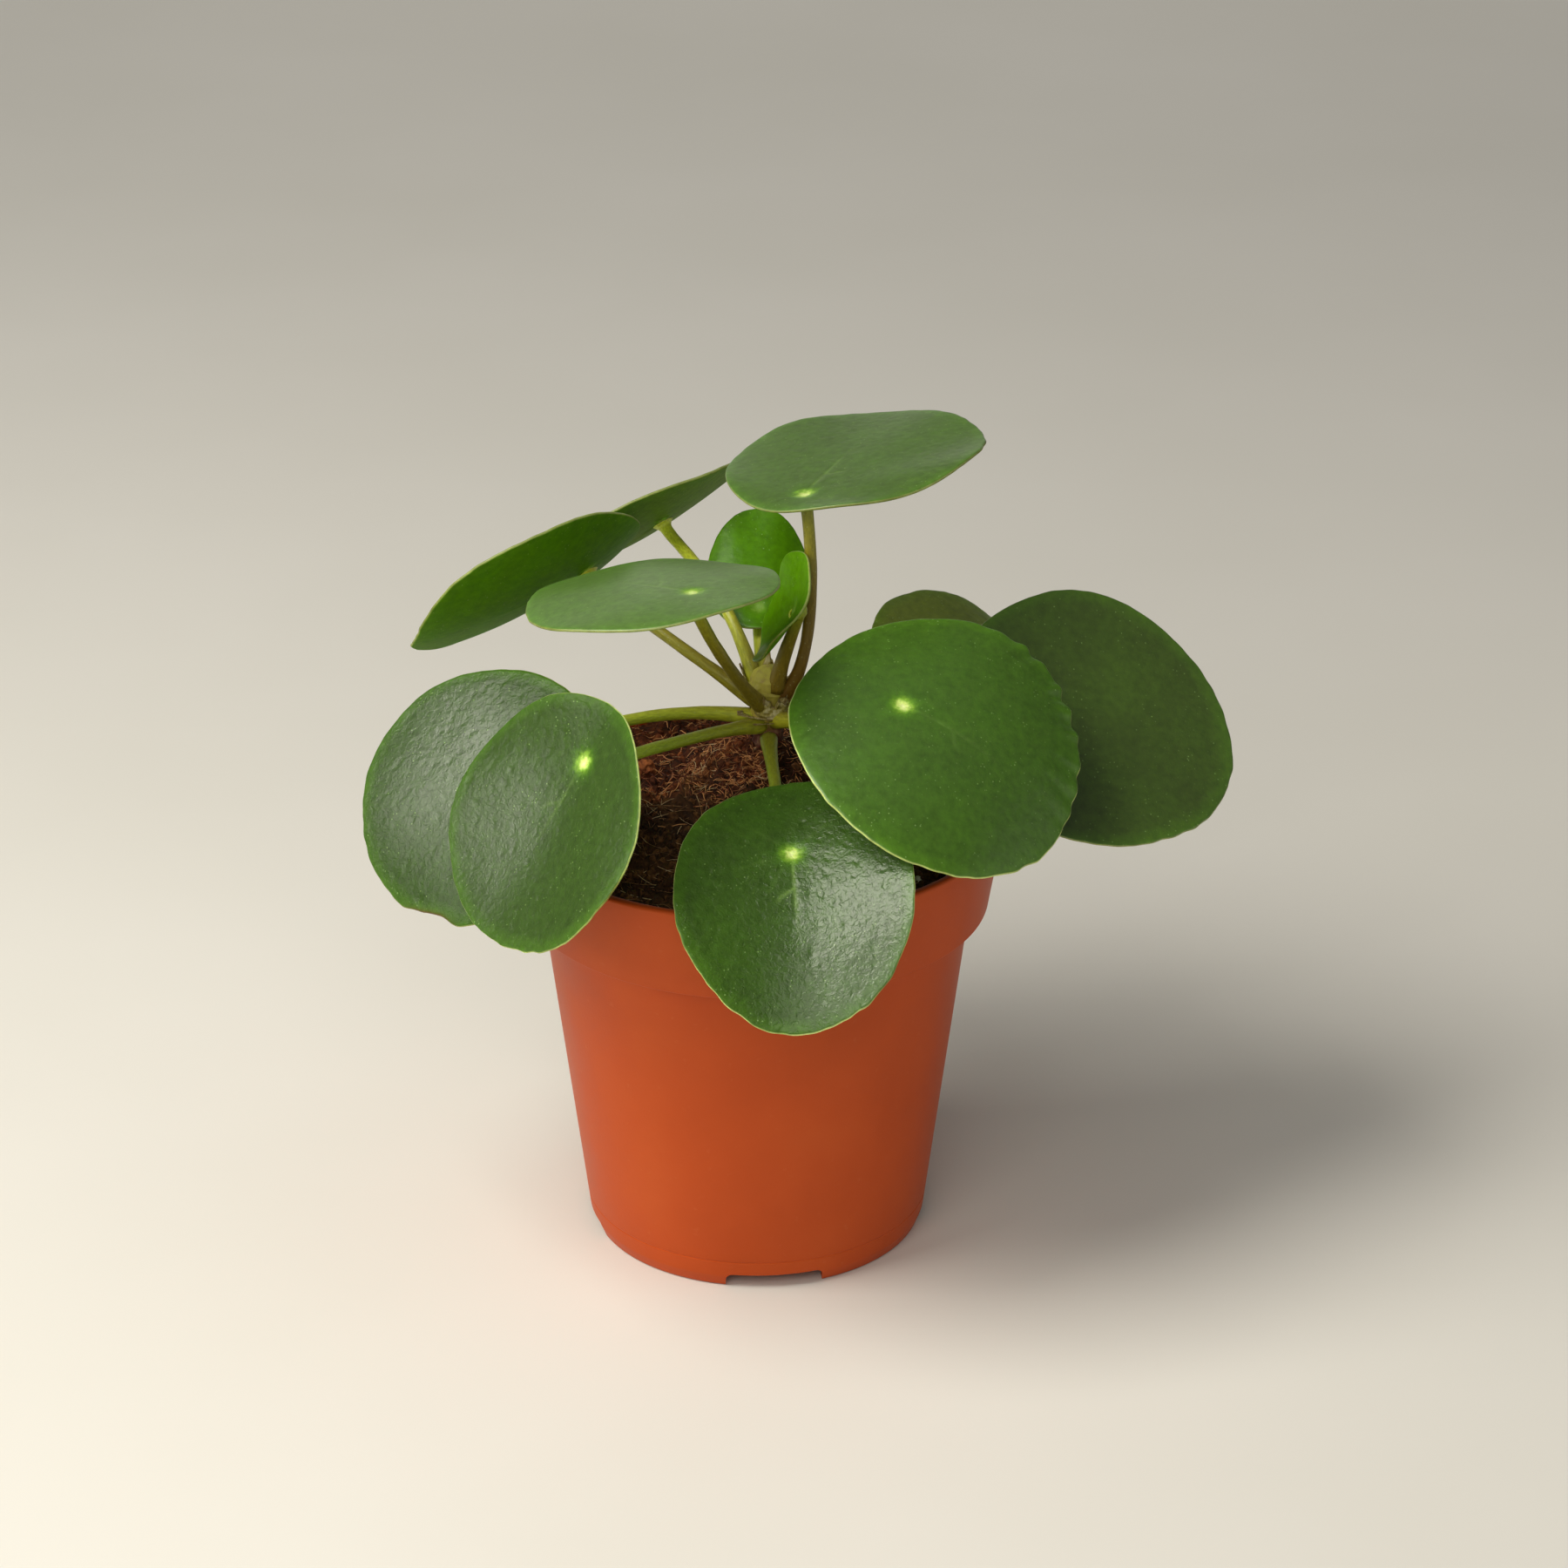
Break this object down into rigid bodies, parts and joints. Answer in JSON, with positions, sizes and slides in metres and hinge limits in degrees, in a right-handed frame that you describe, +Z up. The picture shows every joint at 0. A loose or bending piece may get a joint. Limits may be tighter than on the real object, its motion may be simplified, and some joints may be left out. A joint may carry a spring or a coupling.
{
  "type": "potted pilea plant",
  "caption": "Small houseplant with round peltate leaves on long petioles, rooted in peat in a collared plastic nursery pot.",
  "frame": {"origin": "bottom centre of the whole plant's box, on the surface the pot stands on; the pot's axis is 10.5 mm to its -X side and 9.0 mm to its -Y side", "axes": "+Z up along the pot's axis; the picture's viewer looks along +Y with +X to the right"},
  "size_m": [0.2098, 0.18, 0.191],
  "materials": {
    "pot_plastic": "satin moulded polypropylene, terracotta colour",
    "peat": "damp dark peat with fine pale roots",
    "coir_plug": "red-brown coir fibre",
    "stem": "brown scarred stem with papery tan stipules",
    "petiole": "smooth olive-green stalk, browner on the older upright ones",
    "leaf": "satin dark green with a fine hammered relief",
    "young_leaf": "satin bright green"
  },
  "bodies": {
    "root": {"pot": "pot_plastic", "soil": "peat", "root_plug": "coir_plug", "stem": "stem", "petiole_top": "petiole", "petiole_back_left": "petiole", "petiole_high_left": "petiole", "petiole_mid_left": "petiole", "petiole_young_open": "petiole", "petiole_young_folded": "petiole", "petiole_right_front": "petiole", "petiole_right_back": "petiole", "petiole_small_back": "petiole", "petiole_front": "petiole", "petiole_left_front": "petiole", "petiole_left_back": "petiole", "blade_top": "leaf", "blade_back_left": "leaf", "blade_high_left": "leaf", "blade_mid_left": "leaf", "blade_young_open": "young_leaf", "blade_young_folded": "young_leaf", "blade_right_front": "leaf", "blade_right_back": "leaf", "blade_small_back": "leaf", "blade_front": "leaf", "blade_left_front": "leaf", "blade_left_back": "leaf"}
  },
  "joints": []
}
